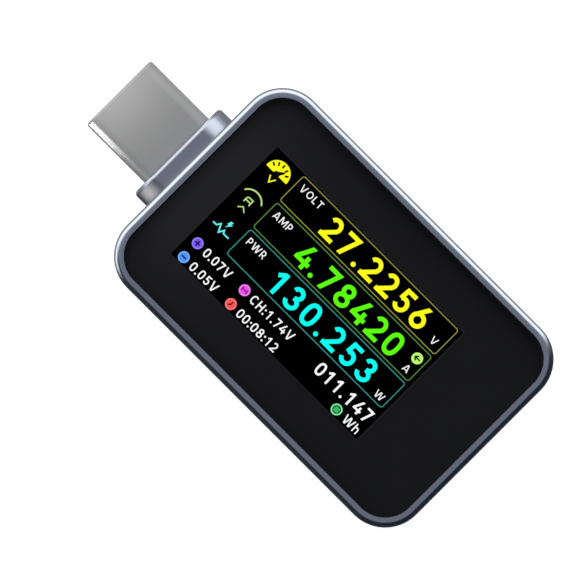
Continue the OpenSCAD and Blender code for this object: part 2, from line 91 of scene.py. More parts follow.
def make_camera():
    """Looks straight down on the front, with the meter turned 45 degrees in the picture."""
    view_mm = 52.36
    aim_x, aim_y = 0.34, -1.67
    aim_z = FRAME_HI.z - 1.5
    cam = bpy.data.cameras.new("camera")
    cam.lens, cam.sensor_width = 1500, 36
    cam.clip_start, cam.clip_end = 0.01, 10
    ob = bpy.data.objects.new("camera", cam)
    distance = view_mm * cam.lens / cam.sensor_width
    ob.location = Vector((aim_x, aim_y, aim_z + distance)) * MM
    ob.rotation_euler = (0, 0, math.radians(45))
    bpy.context.scene.collection.objects.link(ob)
    bpy.context.scene.camera = ob


def soft_box(name, at, aim, size, glow, colour=(1, 1, 1), only=()):
    """A rectangular soft light. glow is its radiance, so its look doesn't depend on its size. only
    lists the pieces that it lights, if it doesn't light them all."""
    light = bpy.data.lights.new(name, "AREA")
    light.shape = "RECTANGLE"
    light.size, light.size_y = size[0] * MM, size[1] * MM
    light.energy = glow * math.pi * light.size * light.size_y
    light.color = colour
    ob = bpy.data.objects.new(name, light)
    ob.location = Vector(at) * MM
    ob.rotation_euler = (Vector(at) - Vector(aim)).to_track_quat("Z", "Y").to_euler()
    ob.visible_camera = False
    bpy.context.scene.collection.objects.link(ob)
    if only:
        lit_pieces = bpy.data.collections.new(name + "_lights")
        for lit_piece in only:
            lit_pieces.objects.link(bpy.data.objects[lit_piece])
        ob.light_linking.receiver_collection = lit_pieces
    ob.visible_transmission = False
    return ob


def ramp(nt, value, stops):
    """A colour ramp through (position, level or colour) stops, driven by a value socket."""
    n = nt.nodes.new("ShaderNodeValToRGB")
    nt.links.new(value, n.inputs[0])
    elements = n.color_ramp.elements
    while len(elements) > 1:
        elements.remove(elements[0])
    for k, (position, colour) in enumerate(stops):
        stop = elements[0] if k == 0 else elements.new(position)
        stop.position = position
        stop.color = (*colour, 1) if isinstance(colour, tuple) else (colour, colour, colour, 1)
    return n.outputs[0]


def maths(nt, operation, *values):
    """A math node fed by sockets or numbers."""
    n = nt.nodes.new("ShaderNodeMath")
    n.operation = operation
    for k, value in enumerate(values):
        if isinstance(value, bpy.types.NodeSocket):
            nt.links.new(value, n.inputs[k])
        else:
            n.inputs[k].default_value = value
    return n.outputs[0]


def elevation(degrees):
    """Where an elevation falls on a ramp that runs from straight down to straight up."""
    return 0.5 + degrees / 180


def azimuth(degrees):
    """Where an azimuth falls on a ramp that runs once round from -45 degrees to 315."""
    return 0.5 + (degrees - 135) / 360


def make_room():
    """A pale studio: a wide soft light from the plug's side round to the top of the screen, a
    darker side opposite, and a dark patch straight above that the flat glass looks into."""
    wall_glow = 2.4
    world = bpy.data.worlds.new("room")
    bpy.context.scene.world = world
    world.use_nodes = True
    nt = world.node_tree
    coord = nt.nodes.new("ShaderNodeTexCoord")
    split = nt.nodes.new("ShaderNodeSeparateXYZ")
    nt.links.new(coord.outputs["Generated"], split.inputs[0])
    x, y, z = split.outputs
    up = maths(nt, "MULTIPLY_ADD", maths(nt, "ARCSINE", z), 1 / math.pi, 0.5)
    along = maths(nt, "SUBTRACT", y, x)
    across = maths(nt, "SUBTRACT", maths(nt, "MULTIPLY", x, -1.0), y)
    turn = maths(nt, "MULTIPLY_ADD", maths(nt, "ARCTAN2", across, along), 0.5 / math.pi, 0.5)
    room = ramp(nt, up, [
        (elevation(-90), (0.06, 0.06, 0.07)), (elevation(-35), (0.10, 0.10, 0.12)),
        (elevation(-8), (0.05, 0.055, 0.07)), (elevation(5), (0.025, 0.03, 0.045)),
        (elevation(68), (0.025, 0.03, 0.045)), (elevation(79), (0.14, 0.15, 0.18)),
        (elevation(83), (0.44, 0.46, 0.56)), (elevation(86), (0.44, 0.46, 0.56)),
        (elevation(87.3), (0.004, 0.004, 0.005)), (elevation(90), (0.004, 0.004, 0.005)),
    ])
    skirt = [
        (elevation(-90), 0.12), (elevation(-12), 0.16), (elevation(-7), 0.46), (elevation(-1.5), 0.46),
        (elevation(1), 0.10), (elevation(5), 0.10), (elevation(10), 0.9),
    ]
    tall = ramp(nt, up, skirt + [
        (elevation(30), 1.0), (elevation(56), 0.9), (elevation(68), 0.6), (elevation(77), 0.06),
        (elevation(82), 0.0),
    ])
    low = ramp(nt, up, skirt + [(elevation(24), 1.0), (elevation(36), 0.6), (elevation(50), 0.0)])
    wide = ramp(nt, turn, [
        (azimuth(50), 0.0), (azimuth(66), 0.12), (azimuth(82), 1.0), (azimuth(196), 1.0),
        (azimuth(226), 0.0),
    ])
    end = ramp(nt, turn, [
        (azimuth(196), 0.0), (azimuth(226), 1.0), (azimuth(238), 1.0), (azimuth(256), 0.0),
    ])
    lobe = maths(nt, "ADD", maths(nt, "MULTIPLY", tall, wide), maths(nt, "MULTIPLY", low, end))
    light = nt.nodes.new("ShaderNodeMix")
    light.data_type = "RGBA"
    light.blend_type = "ADD"
    light.clamp_result = False
    light.inputs["Factor"].default_value = 1
    bright = nt.nodes.new("ShaderNodeVectorMath")
    bright.operation = "SCALE"
    bright.inputs[0].default_value = [wall_glow] * 3
    nt.links.new(lobe, bright.inputs["Scale"])
    nt.links.new(room, light.inputs["A"])
    nt.links.new(bright.outputs[0], light.inputs["B"])
    nt.links.new(light.outputs["Result"], nt.nodes["Background"].inputs[0])
    nt.nodes["Background"].inputs[1].default_value = 1.0


def make_lights():
    """Small soft lights that only the plug, the collar or the film takes up."""
    tip_x, lip_x, rim_x = PLUG_LO.x, COLLAR_LO.x, FRAME_LO.x
    strip_at, strip_aim = (tip_x - 2.5, -40, MID_Z), (tip_x - 2.5, 0, MID_Z)
    strip = soft_box("plug_strip", strip_at, strip_aim, (11, 44), 34, only=["plug_tube"])
    strip.visible_diffuse = False
    tip_at, tip_aim = (tip_x, 0, PLUG_HI.z + 5), (tip_x, 0, 0)
    glow = soft_box("plug_glow", tip_at, tip_aim, (1, 8), 12, only=["plug_tube"])
    glow.visible_glossy = False
    # Six panels, each behind and taller than the last, grade the warm patch on the collar's end.
    warm, total, step = (1.0, 0.9, 0.8), 1.7, 0.3
    halves = (4, 8, 12, 17, 23, 30)
    for k, half in enumerate(halves):
        at, aim = (rim_x - 1, -24 - step * k, MID_Z + 7), (rim_x - 1, -6, MID_Z)
        patch = soft_box(f"collar_glow_{k}", at, aim, (8, 2 * half), total / len(halves), warm,
                         only=["collar_ring"])
        patch.visible_diffuse = False
    lip_at, lip_aim = (lip_x - 30, 0, MID_Z - 8), (lip_x, 0, MID_Z)
    lip = soft_box("lip_glow", lip_at, lip_aim, (40, 22), 2.4, only=["collar_ring"])
    lip.visible_diffuse = False
    film_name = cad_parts["bezel_film"].name
    film_at, film_aim = (rim_x + 2, 0, BODY_THK + 7), (rim_x + 2, 0, 0)
    film = soft_box("film_glow", film_at, film_aim, (2, 16), 7.5, only=[film_name])
    film.visible_glossy = False


def make_floor():
    """A plain pale floor at the meter's back face. Metal reflects the room instead of it."""
    width_m, drop_mm = 30, 0.02
    bpy.ops.mesh.primitive_plane_add(size=width_m, location=(0, 0, -drop_mm * MM))
    floor = bpy.context.object
    floor.name = "floor"
    floor.visible_glossy = False
    mat = bpy.data.materials.new("floor_pale")
    mat.use_nodes = True
    shader = mat.node_tree.nodes["Principled BSDF"]
    shader.inputs["Base Color"].default_value = (0.3, 0.3, 0.3, 1)
    shader.inputs["Roughness"].default_value = 0.9
    shader.inputs["Specular IOR Level"].default_value = 0
    shader.inputs["Emission Color"].default_value = (1, 1, 1, 1)
    shader.inputs["Emission Strength"].default_value = 0.94
    floor.data.materials.append(mat)


# ---- materials ----

def node(nt, kind, **inputs):
    """Adds a shader node and sets the inputs named, with spaces as underscores."""
    n = nt.nodes.new(kind)
    for key, value in inputs.items():
        n.inputs[key.replace("_", " ")].default_value = value
    return n


def surface(name, colour, metallic=0.0, rough=0.5, grain=0.08, stretch=(1, 1, 1), bump=0.0,
            rough_swing=0.05, tint=0.06, **sockets):
    """A procedural surface. grain is the size of its texture in millimetres, stretch pulls that
    texture out along an axis, tint and rough_swing say how much colour and roughness vary."""
    mat = bpy.data.materials.new(name)
    mat.use_nodes = True
    nt = mat.node_tree
    shader = nt.nodes["Principled BSDF"]
    shader.inputs["Metallic"].default_value = metallic
    for key, value in sockets.items():
        shader.inputs[key.replace("_", " ")].default_value = value
    coord = nt.nodes.new("ShaderNodeTexCoord")
    mapping = node(nt, "ShaderNodeMapping", Scale=[1 / (s * MM) for s in stretch])
    nt.links.new(coord.outputs["Object"], mapping.inputs["Vector"])
    fine = node(nt, "ShaderNodeTexNoise", Scale=1 / grain, Detail=3.0)
    broad = node(nt, "ShaderNodeTexNoise", Scale=0.35, Detail=2.0)
    for noise in (fine, broad):
        nt.links.new(mapping.outputs[0], noise.inputs["Vector"])
    both = node(nt, "ShaderNodeMath")
    both.operation = "MULTIPLY_ADD"
    both.inputs[1].default_value = 0.5
    nt.links.new(fine.outputs["Fac"], both.inputs[0])
    half = node(nt, "ShaderNodeMath")
    half.operation = "MULTIPLY"
    half.inputs[1].default_value = 0.5
    nt.links.new(broad.outputs["Fac"], half.inputs[0])
    nt.links.new(half.outputs[0], both.inputs[2])
    mix = nt.nodes.new("ShaderNodeMix")
    mix.data_type = "RGBA"
    mix.inputs["A"].default_value = [c * (1 - tint) for c in colour] + [1]
    mix.inputs["B"].default_value = [min(1, c * (1 + tint)) for c in colour] + [1]
    nt.links.new(both.outputs[0], mix.inputs["Factor"])
    nt.links.new(mix.outputs["Result"], shader.inputs["Base Color"])
    roughness = node(nt, "ShaderNodeMapRange", To_Min=rough - rough_swing, To_Max=rough + rough_swing)
    nt.links.new(both.outputs[0], roughness.inputs["Value"])
    nt.links.new(roughness.outputs[0], shader.inputs["Roughness"])
    if bump:
        relief = node(nt, "ShaderNodeBump", Strength=bump, Distance=grain * MM * 0.3)
        nt.links.new(fine.outputs["Fac"], relief.inputs["Height"])
        nt.links.new(relief.outputs[0], shader.inputs["Normal"])
    return mat


def lit(name, colour, strength=1.05):
    """A lit area of the screen: plain emission with the slight unevenness of a backlight."""
    mat = bpy.data.materials.new(name)
    mat.use_nodes = True
    nt = mat.node_tree
    shader = nt.nodes["Principled BSDF"]
    shader.inputs["Roughness"].default_value = 0.4
    shader.inputs["Specular IOR Level"].default_value = 0
    shader.inputs["Emission Strength"].default_value = strength
    linear = [srgb(c) for c in colour]
    shader.inputs["Base Color"].default_value = (0, 0, 0, 1)
    coord = nt.nodes.new("ShaderNodeTexCoord")
    noise = node(nt, "ShaderNodeTexNoise", Scale=0.4 / MM, Detail=1.0)
    nt.links.new(coord.outputs["Object"], noise.inputs["Vector"])
    mix = nt.nodes.new("ShaderNodeMix")
    mix.data_type = "RGBA"
    mix.inputs["A"].default_value = [c * 0.97 for c in linear] + [1]
    mix.inputs["B"].default_value = linear + [1]
    nt.links.new(noise.outputs["Fac"], mix.inputs["Factor"])
    nt.links.new(mix.outputs["Result"], shader.inputs["Emission Color"])
    return mat


def srgb(value):
    """One display colour channel, 0 to 255, as linear light."""
    v = value / 255
    return v / 12.92 if v <= 0.04045 else ((v + 0.055) / 1.055) ** 2.4


def glass_material():
    """Clear glass that reflects little, as if coated, so that the screen stays readable."""
    mat = bpy.data.materials.new("front_glass")
    mat.use_nodes = True
    looks = {
        "Base Color": (0.97, 0.98, 0.99, 1), "Roughness": 0.0, "IOR": 1.15,
        "Transmission Weight": 1.0, "Specular Tint": (0.22, 0.22, 0.23, 1),
    }
    for socket, value in looks.items():
        mat.node_tree.nodes["Principled BSDF"].inputs[socket].default_value = value
    return mat


METAL = surface("anodised_metal", (0.40, 0.436, 0.495), 1.0, 0.22, grain=0.05, bump=0.02, tint=0.03,
                rough_swing=0.03)
COLLAR_METAL = surface("anodised_collar", (0.325, 0.35, 0.405), 1.0, 0.3, grain=0.05, bump=0.02,
                       tint=0.03, rough_swing=0.03)
PLUG_METAL = surface("satin_nickel", (0.242, 0.242, 0.24), 0.05, 0.5, grain=0.06, stretch=(14, 1, 1),
                     tint=0.04, Coat_Weight=0.5, Coat_Roughness=0.17, Specular_IOR_Level=0.0)
SOCKET_METAL = surface("socket_nickel", (0.6, 0.6, 0.6), 1.0, 0.3, grain=0.06, stretch=(10, 1, 1),
                       bump=0.1, tint=0.04)
FILM_BLACK = surface("film_black", (0.0107, 0.0108, 0.0124), 0.0, 0.5, grain=0.3, tint=0.08,
                     Specular_IOR_Level=0.0)
# A painted highlight: a paler black for the strip where light catches the film's cut edge.
FILM_EDGE_HIGHLIGHT = surface("film_edge_highlight", (0.021, 0.0205, 0.0225), 0.0, 0.5, grain=0.3, tint=0.08,
                    Specular_IOR_Level=0.0)
LCD_BLACK = surface("lcd_black", (0.0002, 0.0002, 0.00025), 0.0, 0.35, grain=0.1, tint=0.1,
                    Specular_IOR_Level=0.0)
BACK_PLASTIC = surface("back_plastic", (0.028, 0.031, 0.038), 0.0, 0.55, grain=0.12, bump=0.5)
SCREW_STEEL = surface("screw_steel", (0.32, 0.33, 0.35), 1.0, 0.35, grain=0.05, bump=0.2)
INSULATOR = surface("insulator_black", (0.016, 0.016, 0.018), 0.0, 0.4, grain=0.08, bump=0.2)
GOLD = surface("contact_gold", (0.86, 0.6, 0.24), 1.0, 0.25, grain=0.04, stretch=(6, 1, 1))
SPRING_STEEL = surface("spring_steel", (0.6, 0.6, 0.6), 1.0, 0.3, grain=0.05, stretch=(8, 1, 1))
LIGHT_GUIDE = surface("light_guide", (0.85, 0.85, 0.82), 0.0, 0.5, grain=0.2, tint=0.02)
FLEX_FILM = surface("flex_amber", (0.42, 0.2, 0.04), 0.0, 0.3, grain=0.3, tint=0.12)
SOCKET_PLASTIC = surface("connector_ivory", (0.72, 0.68, 0.6), 0.0, 0.5, grain=0.1, bump=0.2)
FOAM = surface("foam_black", (0.02, 0.02, 0.022), 0.0, 0.9, grain=0.25, bump=1.0, tint=0.2)
MASK_GREEN = surface("solder_mask", (0.012, 0.09, 0.045), 0.0, 0.3, grain=0.4, bump=0.1, tint=0.2)
CHIP_BLACK = surface("chip_black", (0.018, 0.018, 0.02), 0.0, 0.6, grain=0.06, bump=0.3)
CAN_METAL = surface("can_metal", (0.6, 0.6, 0.56), 1.0, 0.35, grain=0.05, bump=0.1)
CERAMIC_TAN = surface("ceramic_tan", (0.33, 0.22, 0.12), 0.0, 0.4, grain=0.08, bump=0.2)
FERRITE = surface("ferrite_grey", (0.06, 0.06, 0.065), 0.0, 0.7, grain=0.08, bump=0.5)
GAP_PAD = surface("gap_pad_blue", (0.2, 0.3, 0.42), 0.0, 0.8, grain=0.2, bump=0.4)
SWITCH_PLASTIC = surface("switch_black", (0.02, 0.02, 0.02), 0.0, 0.5, grain=0.08, bump=0.3)
PLUNGER = surface("plunger_cream", (0.55, 0.5, 0.42), 0.0, 0.5, grain=0.08, bump=0.2)
GLASS = glass_material()


# ---- mesh building ----

def shade(me, angle):
    """Smooth shading, with edges sharper than the angle left crisp."""
    bm = bmesh.new()
    bm.from_mesh(me)
    bmesh.ops.recalc_face_normals(bm, faces=bm.faces)
    for face in bm.faces:
        face.smooth = True
    for edge in bm.edges:
        edge.smooth = edge.is_manifold and edge.calc_face_angle(0) < math.radians(angle)
    bm.to_mesh(me)
    bm.free()


def even_normals(ob):
    """Keeps the flats flat beside their rounded edges."""
    mod = ob.modifiers.new("even_normals", "WEIGHTED_NORMAL")
    mod.weight, mod.keep_sharp = 100, True


def piece(name, verts, faces, mat, body="housing", angle=32):
    """A new piece of the meter from vertices in millimetres."""
    me = bpy.data.meshes.new(name)
    me.from_pydata([Vector(v) * MM for v in verts], [], faces)
    me.materials.append(mat)
    shade(me, angle)
    ob = bpy.data.objects.new(name, me)
    bpy.context.scene.collection.objects.link(ob)
    if body:
        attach(ob, body)
    return ob


def outline(length, width, radius, steps=24):
    """Points round a rectangle with round corners, each with its outward direction."""
    points = []
    for k, (sx, sy) in enumerate(((1, 1), (-1, 1), (-1, -1), (1, -1))):
        centre = (sx * (length / 2 - radius), sy * (width / 2 - radius))
        for i in range(steps + 1):
            a = math.radians(90 * (k + i / steps))
            n = (math.cos(a), math.sin(a))
            p = (centre[0] + radius * n[0], centre[1] + radius * n[1], *n)
            if not points or math.dist(points[-1][:2], p[:2]) > 1e-6:
                points.append(p)
    if math.dist(points[0][:2], points[-1][:2]) < 1e-6:
        points.pop()
    return points


def flat(x=0, y=0):
    """Placing for an outline that lies in the XY plane, with its axis along Z."""
    return lambda a, b, t: (x + a, y + b, t)


def facing_x(y=0, z=None):
    """Placing for an outline that stands across the X axis."""
    return lambda a, b, t: (t, y + a, (MID_Z if z is None else z) + b)


def facing_y(x, z=None):
    """Placing for an outline that stands across the Y axis."""
    return lambda a, b, t: (x + a, t, (MID_Z if z is None else z) + b)


def swept(path, section, place, closed=True):
    """Vertices and faces of a section swept round an outline. Each section point is its distance
    in from the outline and its place along the axis. An open section is capped at both ends."""
    verts = [place(x - nx * d, y - ny * d, t) for x, y, nx, ny in path for d, t in section]
    m, n = len(section), len(path)
    spans = m if closed else m - 1
    faces = [
        (i * m + j, (i + 1) % n * m + j, (i + 1) % n * m + (j + 1) % m, i * m + (j + 1) % m)
        for i in range(n) for j in range(spans)
    ]
    if not closed:
        faces += [tuple(i * m + j for i in range(n)) for j in (0, m - 1)]
    return verts, faces


def arc(cx, cy, radius, start, end, steps=8):
    """Points on a circle from one angle to another, in degrees."""
    return [
        (cx + radius * math.cos(math.radians(a)), cy + radius * math.sin(math.radians(a)))
        for a in (start + (end - start) * i / steps for i in range(steps + 1))
    ]


def joined(*parts):
    """Several vertex and face lists as one."""
    verts, faces = [], []
    for v, f in parts:
        base = len(verts)
        verts += v
        faces += [tuple(base + i for i in face) for face in f]
    return verts, faces


def cut(ob, *cutters):
    """Cuts closed shapes out of a piece and removes them."""
    for c in cutters:
        mod = ob.modifiers.new("cut", "BOOLEAN")
        mod.operation, mod.solver, mod.object = "DIFFERENCE", "EXACT", c
    bpy.context.view_layer.update()
    done = bpy.data.meshes.new_from_object(ob.evaluated_get(bpy.context.evaluated_depsgraph_get()))
    ob.modifiers.clear()
    ob.data = done
    for c in cutters:
        bpy.data.objects.remove(c)
    shade(ob.data, 32)


def port_cutter(name, length, height, place, inner, outer, chamfer):
    """A slot-shaped cutter from inside a wall to outside it, flared where it meets the outside."""
    step = 1 if outer > inner else -1
    section = [(0, inner), (0, outer - step * chamfer), (-2 * chamfer, outer + step * chamfer)]
    path = outline(length, height, height / 2)
    return piece(name, *swept(path, section, place, closed=False), METAL, body=None)


# ---- housing ----

def make_frame():
    """The metal ring: round outer edges, a rim round the glass, a ledge under it and open ports."""
    soft = 0.01
    clear = 0.1
    through = 2
    section = arc(EDGE_R, BODY_THK - EDGE_R, EDGE_R, 180, 90)
    section += [(RIM - soft, BODY_THK), (RIM, BODY_THK - soft), (RIM, FILM_LO.z), (LEDGE, FILM_LO.z)]
    section += [(LEDGE, FILM_LO.z - LEDGE_T), (WALL, FILM_LO.z - LEDGE_T), (WALL, COVER_T)]
    section += [(RIM, COVER_T), (RIM, soft), (RIM - soft, 0)]
    section += arc(EDGE_R, EDGE_R, EDGE_R, 270, 180)
    ring = swept(outline(BODY_LEN, BODY_WID, CORNER_R), section, flat(MID_X))
    ob = piece("frame_ring", *ring, METAL)
    collar_port = (COLLAR_WID - 2 * COLLAR_STEP, COLLAR_HGT - 2 * COLLAR_STEP)
    socket_out = 2 * (SOCKET_WALL + clear)
    socket_port = (SOCKET_WID + socket_out, SOCKET_HGT + socket_out)
    key_port = (6.3, 2.1)
    cut(
        ob,
        port_cutter("cut_plug", *collar_port, facing_x(), FRAME_LO.x + through, FRAME_LO.x, 0.02),
        port_cutter("cut_socket", *socket_port, facing_x(), FRAME_HI.x - through, FRAME_HI.x, 0.14),
        port_cutter("cut_key", *key_port, facing_y(MID_X), FRAME_LO.y + through, FRAME_LO.y, 0.1),
    )
    even_normals(ob)
    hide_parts("frame")


def make_collar():
    """The collar round the plug, with a rounded front lip and a spigot in the frame's port."""
    lip, play, mouth = 0.4, 0.02, 0.12
    x0, x1 = COLLAR_LO.x, COLLAR_HI.x
    spigot = COLLAR_STEP + play
    bore = (COLLAR_HGT - PLUG_HGT) / 2 - play
    section = arc(lip, x0 + lip, lip, 270, 180, 6)
    section += [(0, FRAME_LO.x), (spigot, FRAME_LO.x), (spigot, x1), (bore, x1)]
    section += [(bore, x0 + mouth), (bore - mouth, x0)]
    path = outline(COLLAR_WID, COLLAR_HGT, COLLAR_HGT / 2)
    ob = piece("collar_ring", *swept(path, section, facing_x()), COLLAR_METAL)
    even_normals(ob)
    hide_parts("plug_collar")


def make_plug_shell():
    """The drawn steel tube of the plug with its rolled tip."""
    wall, tip, lead_in, tail = 0.3, 0.25, 0.6, 0.55
    x0, x1 = PLUG_LO.x, FRAME_LO.x + WALL + tail
    section = arc(tip, x0 + tip, tip, 360, 180, 12)
    section += [(0, x1), (wall, x1), (wall, x0 + lead_in)]
    path = outline(PLUG_WID, PLUG_HGT, PLUG_HGT / 2)
    ob = piece("plug_tube", *swept(path, section, facing_x()), PLUG_METAL)
    even_normals(ob)
    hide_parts("plug_shell")


def make_glass():
    """The front window, its upper edge rounded off, a hair above the film it is stuck to."""
    edge, lift = 0.04, 0.01
    nearly_flat = 0.995
    section = [(0, GLASS_LO.z + lift)] + arc(edge, GLASS_HI.z - edge, edge, 180, 90, 3)
    path = outline(GLASS_HI.x - GLASS_LO.x, GLASS_HI.y - GLASS_LO.y, PLATE_CORNER_R)
    ob = piece("front_window", *swept(path, section, flat(MID_X), closed=False), GLASS)
    # The side faces are black: partly a black border on the glass, partly painted shade that keeps the gap
    # round the glass dark.
    ob.data.materials.append(FILM_BLACK)
    for face in ob.data.polygons:
        if abs(face.normal.z) < nearly_flat:
            face.material_index = 1
    ob.visible_shadow = ob.visible_diffuse = False
    even_normals(ob)
    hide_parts("cover_glass")


def make_glue_and_gap_shade():
    """The black bead of glue that fills the gap round the glass to just below its top; its black is partly
    painted shade, standing in for the shade deep in the gap.
    """
    clear, dip = 0.005, 0.08
    gap = (BODY_WID - (GLASS_HI.y - GLASS_LO.y)) / 2 - RIM
    top = GLASS_HI.z - dip
    section = [(RIM + clear, top), (RIM + clear, FILM_LO.z + clear),
               (RIM + gap - clear, FILM_LO.z + clear), (RIM + gap - clear, top)]
    ring_mesh = swept(outline(BODY_LEN, BODY_WID, CORNER_R), section, flat(MID_X))
    ob = piece("glue_and_gap_shade", *ring_mesh, FILM_BLACK)


def dress(name, mat):
    """Gives a CAD node its procedural material."""
    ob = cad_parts[name]
    ob.data.materials.clear()
    ob.data.materials.append(mat)
    for polygon in ob.data.polygons:
        polygon.material_index = 0


# ---- screen ----

def ring(cx, cy, rx, ry, start=0, end=360, power=2.0, steps=40):
    """Points along part of an oval; a power above 2 makes its sides straighter."""
    points = []
    for i in range(steps + 1):
        a = math.radians(start + (end - start) * i / steps)
        c, s = math.cos(a), math.sin(a)
        points.append((cx + rx * math.copysign(abs(c) ** (2 / power), c),
                       cy + ry * math.copysign(abs(s) ** (2 / power), s)))
    return points


# Each character's width and strokes, on a box one unit tall. A stroke is a list of points; "." is
# the dot on the line, and ":" is the dot above it.
GLYPHS = {
    "0": (0.70, [ring(0.327, 0.5, 0.25, 0.42, power=2.45)]),
    "1": (0.70, [[(0.40, 0), (0.40, 1)], [(0.10, 0.715), (0.36, 0.925)]]),
    "2": (0.70, [ring(0.326, 0.67, 0.235, 0.25, 155, -38) + [(0.13, 0.12)], [(0, 0.089), (0.67, 0.089)]]),
    "3": (0.70, [ring(0.305, 0.72, 0.208, 0.2, 168, -95), ring(0.316, 0.29, 0.252, 0.21, 98, -174)]),
    "4": (0.70, [[(0.435, 1), (0.06, 0.285)], [(-0.02, 0.285), (0.715, 0.285)],
                 [(0.505, 0), (0.505, 0.575)]]),
    "5": (0.70, [[(0.11, 0.911), (0.628, 0.911)], [(0.195, 0.94), (0.155, 0.5)],
                 ring(0.328, 0.33, 0.24, 0.25, 132, -158)]),
    "6": (0.70, [ring(0.34, 0.335, 0.255, 0.2545), [(0.45, 1), (0.125, 0.45)]]),
    "7": (0.70, [[(0.01, 0.911), (0.56, 0.911), (0.235, 0)]]),
    "8": (0.70, [ring(0.337, 0.72, 0.215, 0.2), ring(0.337, 0.295, 0.255, 0.215)]),
    ".": (0.226, ["."]),
    ":": (0.226, [".", ":"]),
    "V": (0.88, [[(0.09, 1), (0.41, 0)], [(0.47, 0), (0.79, 1)]]),
    "A": (0.88, [[(0.09, 0), (0.41, 1)], [(0.47, 1), (0.79, 0)], [(0.2, 0.25), (0.68, 0.25)]]),
    "W": (1.28, [[(0.08, 1), (0.33, 0)], [(0.39, 0), (0.61, 1)], [(0.67, 1), (0.89, 0)],
                 [(0.95, 0), (1.20, 1)]]),
    "h": (0.62, [[(0.08, 0), (0.08, 1)], ring(0.31, 0.44, 0.23, 0.2, 180, 0) + [(0.54, 0)]]),
    "C": (0.80, [ring(0.41, 0.5, 0.33, 0.42, 48, 312)]),
    "O": (0.90, [ring(0.45, 0.5, 0.36, 0.42)]),
    "L": (0.58, [[(0.09, 1), (0.09, 0.07), (0.54, 0.07)]]),
    "T": (0.68, [[(0, 0.93), (0.68, 0.93)], [(0.34, 0.93), (0.34, 0)]]),
    "M": (1.00, [[(0.09, 0), (0.09, 1)], [(0.12, 1), (0.50, 0.2), (0.88, 1)], [(0.91, 0), (0.91, 1)]]),
    "P": (0.64, [[(0.09, 0), (0.09, 1)],
                 [(0.09, 0.93)] + ring(0.33, 0.665, 0.22, 0.265, 90, -90, steps=20) + [(0.09, 0.4)]]),
    "R": (0.72, [[(0.09, 0), (0.09, 1)], [(0.36, 0.4), (0.62, 0)],
                 [(0.09, 0.93)] + ring(0.33, 0.665, 0.22, 0.265, 90, -90, steps=20) + [(0.09, 0.4)]]),
    "H": (0.80, [[(0.09, 0), (0.09, 1)], [(0.67, 0), (0.67, 1)], [(0.09, 0.5), (0.67, 0.5)]]),
}
DOT_AT, DOT_R, COLON_AT = 0.098, 0.102, 0.6
SCREEN_Z = LCD_TOP + 0.005
# Thicknesses of what lies on the screen. Strokes that cross differ by one STEP_Z.
STEP_Z = 0.0004
FACE_T, BAR_T, SIGN_T, HUB_T, NEEDLE_T = 0.01, 0.012, 0.014, 0.017, 0.018


def ribbon(points, width):
    """The left and right edges of a bar of even width along points, and whether it is a loop."""
    loop = math.dist(points[0], points[-1]) < 1e-6
    pts = points[:-1] if loop else points
    n = len(pts)
    left, right = [], []
    for i, p in enumerate(pts):
        before = pts[i - 1] if loop or i > 0 else None
        after = pts[(i + 1) % n] if loop or i < n - 1 else None
        dirs = [Vector(b) - Vector(a) for a, b in ((before, p), (p, after)) if a and b]
        dirs = [d.normalized() for d in dirs]
        tangent = sum(dirs, Vector((0, 0))).normalized()
        reach = width / 2 / max(0.35, tangent.dot(dirs[0]))
        side = Vector((-tangent.y, tangent.x)) * reach
        left.append(Vector(p) + side)
        right.append(Vector(p) - side)
    return left, right, loop


def level_end(edge_a, edge_b, tangent, y):
    """Slides a bar's two end corners along it until both are at one height."""
    out = []
    for e in (edge_a, edge_b):
        out.append(e + tangent * ((y - e.y) / tangent.y))
    return out


def bar_mesh(points, width, z, thick, level=()):
    """Vertices and faces of one flat bar. level holds heights at which an end is cut level."""
    left, right, loop = ribbon(points, width)
    if not loop:
        for i, j in ((0, 1), (-1, -2)):
            t = (Vector(points[i]) - Vector(points[j])).normalized()
            for y in level:
                if abs(points[i][1] - y) < 1e-6 and abs(t.y) > 0.3:
                    left[i], right[i] = level_end(left[i], right[i], t, y)
    n = len(left)
    verts = [(p.x, p.y, h) for h in (z, z + thick) for side in (left, right) for p in side]
    faces = []
    spans = n if loop else n - 1
    for i in range(spans):
        j = (i + 1) % n
        lo_l, lo_r, hi_l, hi_r = i, n + i, 2 * n + i, 3 * n + i
        lo_l2, lo_r2, hi_l2, hi_r2 = j, n + j, 2 * n + j, 3 * n + j
        faces += [(lo_l, lo_r, lo_r2, lo_l2), (hi_l, hi_l2, hi_r2, hi_r),
                  (lo_l, lo_l2, hi_l2, hi_l), (lo_r, hi_r, hi_r2, lo_r2)]
    if not loop:
        for i in (0, n - 1):
            faces.append((i, n + i, 3 * n + i, 2 * n + i))
    return verts, faces


def disc_mesh(cx, cy, radius, z, thick, start=0, end=360, steps=40):
    """A flat disc, or part of one."""
    whole = end - start >= 360
    rim = [(cx + radius * math.cos(math.radians(start + (end - start) * i / steps)),
            cy + radius * math.sin(math.radians(start + (end - start) * i / steps)))
           for i in range(steps if whole else steps + 1)]
    n = len(rim)
    verts = [(x, y, h) for h in (z, z + thick) for x, y in rim]
    faces = [tuple(range(n)), tuple(range(n, 2 * n))]
    faces += [(i, (i + 1) % n, n + (i + 1) % n, n + i) for i in range(n)]
    return verts, faces


def polygon_mesh(points, z, thick):
    """A flat plate with the outline given."""
    n = len(points)
    verts = [(x, y, h) for h in (z, z + thick) for x, y in points]
    faces = [tuple(range(n)), tuple(range(n, 2 * n))]
    faces += [(i, (i + 1) % n, n + (i + 1) % n, n + i) for i in range(n)]
    return verts, faces


def text_width(text, height, gap, narrow=1.0):
    return sum((GLYPHS[c][0] * narrow + gap) * height for c in text) - gap * height


